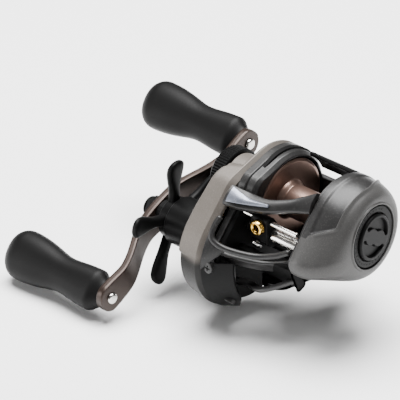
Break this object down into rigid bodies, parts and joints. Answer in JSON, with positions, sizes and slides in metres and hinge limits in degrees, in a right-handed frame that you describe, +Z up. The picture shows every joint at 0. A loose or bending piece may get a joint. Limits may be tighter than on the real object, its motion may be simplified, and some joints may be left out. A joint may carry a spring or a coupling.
{
  "type": "baitcasting reel",
  "caption": "Low-profile baitcasting reel with an open-top spool, swept double handle, star drag, level-wind line guide, side brake dial and a foot for a rod's reel seat.",
  "frame": {"origin": "middle of the foot's underside, below the middle of the spool", "axes": "+X along the spool axis to the brake dial's side (the handle is at -X), +Y along the rod towards the angler (the line guide faces -Y), +Z up out of the reel seat"},
  "size_m": [0.1381, 0.0945, 0.066],
  "materials": {
    "graphite": "dark graphite paint, satin",
    "cover_grey": "warm grey satin metallic",
    "palm_grey": "mid grey satin metallic",
    "black": "satin black",
    "bronze": "bronze-brown anodised",
    "rubber": "charcoal matte",
    "steel": "bright",
    "brass": "polished",
    "badge": "silver-blue satin",
    "carbon": "woven carbon washer"
  },
  "bodies": {
    "frame": {"main_frame": "graphite", "reel_foot": "steel", "foot_rivet_front": "steel", "foot_rivet_rear": "steel", "gear_cover": "cover_grey", "drive_collar": "black", "front_hood": "graphite", "hood_badge": "badge", "window_bezel": "cover_grey", "lower_front_cover": "black", "cover_screw_1": "steel", "cover_screw_2": "steel", "palm_plate": "palm_grey", "dial_scale_ring": "black", "spool_bearing_palm": "steel", "spool_bearing_gear": "steel", "yoke_post_upper": "steel", "yoke_post_lower": "steel", "yoke_spring_upper": "steel", "yoke_spring_lower": "steel", "shaft_bearing": "steel", "one_way_bearing": "steel", "worm_tube": "steel", "guide_rod": "steel"},
    "brake_dial": {"brake_knob": "black"},
    "magnets": {"magnet_carrier": "black"},
    "spool_assembly": {"spool": "bronze", "spool_shaft": "steel", "brake_rotor": "steel"},
    "cast_cap": {"cast_control_cap": "black", "cast_control_shim": "brass"},
    "yoke": {"clutch_yoke": "brass"},
    "pinion_gear": {"pinion": "brass"},
    "clutch_bar": {"thumb_bar": "black", "kick_lever": "steel"},
    "crank": {"drive_shaft": "steel", "main_gear": "brass", "drag_washer": "carbon", "pressure_plate": "steel", "guide_drive_gear": "black", "handle_arm": "bronze", "handle_nut": "steel", "nut_cap": "black", "knob_post_rear": "steel", "knob_post_front": "steel", "star_spring_washer": "steel"},
    "star": {"star_drag": "black"},
    "rear_knob": {"knob_rear": "rubber", "knob_cap_rear": "black"},
    "front_knob": {"knob_front": "rubber", "knob_cap_front": "black"},
    "worm": {"worm_shaft": "steel", "worm_gear": "black"},
    "line_guide": {"line_guide_carriage": "black", "guide_ring": "brass", "pawl": "steel", "pawl_cap": "steel"}
  },
  "joints": [
    {"name": "crank_turn", "type": "hinge", "parent": "frame", "child": "crank", "pos_m": [-0.05, -0.01855, 0.00594], "axis": [1, 0, 0], "continuous": true},
    {"name": "spool_spin", "type": "hinge", "parent": "frame", "child": "spool_assembly", "pos_m": [0, 0, 0.023], "axis": [1, 0, 0], "continuous": true},
    {"name": "pinion_spin", "type": "hinge", "parent": "yoke", "child": "pinion_gear", "pos_m": [-0.023, 0, 0.023], "axis": [1, 0, 0], "continuous": true},
    {"name": "worm_spin", "type": "hinge", "parent": "frame", "child": "worm", "pos_m": [0, -0.0206, 0.01939], "axis": [1, 0, 0], "continuous": true},
    {"name": "line_guide_slide", "type": "slide", "parent": "frame", "child": "line_guide", "axis": [1, 0, 0], "range_m": [-0.0045, 0.01]},
    {"name": "thumb_bar_press", "type": "slide", "parent": "frame", "child": "clutch_bar", "axis": [0, 0.6428, -0.766], "range_m": [0, 0.0035]},
    {"name": "yoke_slide", "type": "slide", "parent": "frame", "child": "yoke", "axis": [-1, 0, 0], "range_m": [0, 0.002], "deforming": ["yoke_spring_upper", "yoke_spring_lower"]},
    {"name": "star_turn", "type": "hinge", "parent": "crank", "child": "star", "pos_m": [-0.0557, -0.01855, 0.00594], "axis": [1, 0, 0], "range_deg": [-180, 180]},
    {"name": "rear_knob_spin", "type": "hinge", "parent": "crank", "child": "rear_knob", "pos_m": [-0.07, 0.01987, 0.02411], "axis": [1, 0, 0], "continuous": true},
    {"name": "front_knob_spin", "type": "hinge", "parent": "crank", "child": "front_knob", "pos_m": [-0.07, -0.05697, -0.01222], "axis": [1, 0, 0], "continuous": true},
    {"name": "cast_cap_turn", "type": "hinge", "parent": "frame", "child": "cast_cap", "pos_m": [-0.042, 0, 0.023], "axis": [1, 0, 0], "range_deg": [-180, 180]},
    {"name": "brake_dial_turn", "type": "hinge", "parent": "frame", "child": "brake_dial", "pos_m": [0.0289, 0.0004, 0.0223], "axis": [0.9947, 0.1028, 0], "range_deg": [0, 150]},
    {"name": "magnet_slide", "type": "slide", "parent": "frame", "child": "magnets", "axis": [-1, 0, 0], "range_m": [0, 0.0015]}
  ],
  "couplings": [
    {"joint": "spool_spin", "follows": "crank_turn", "ratio": -5},
    {"joint": "pinion_spin", "follows": "crank_turn", "ratio": -5},
    {"joint": "worm_spin", "follows": "crank_turn", "ratio": -1.8333},
    {"joint": "yoke_slide", "follows": "thumb_bar_press", "ratio": 0.57143},
    {"joint": "magnet_slide", "follows": "brake_dial_turn", "m_per_rad": 0.000573}
  ]
}
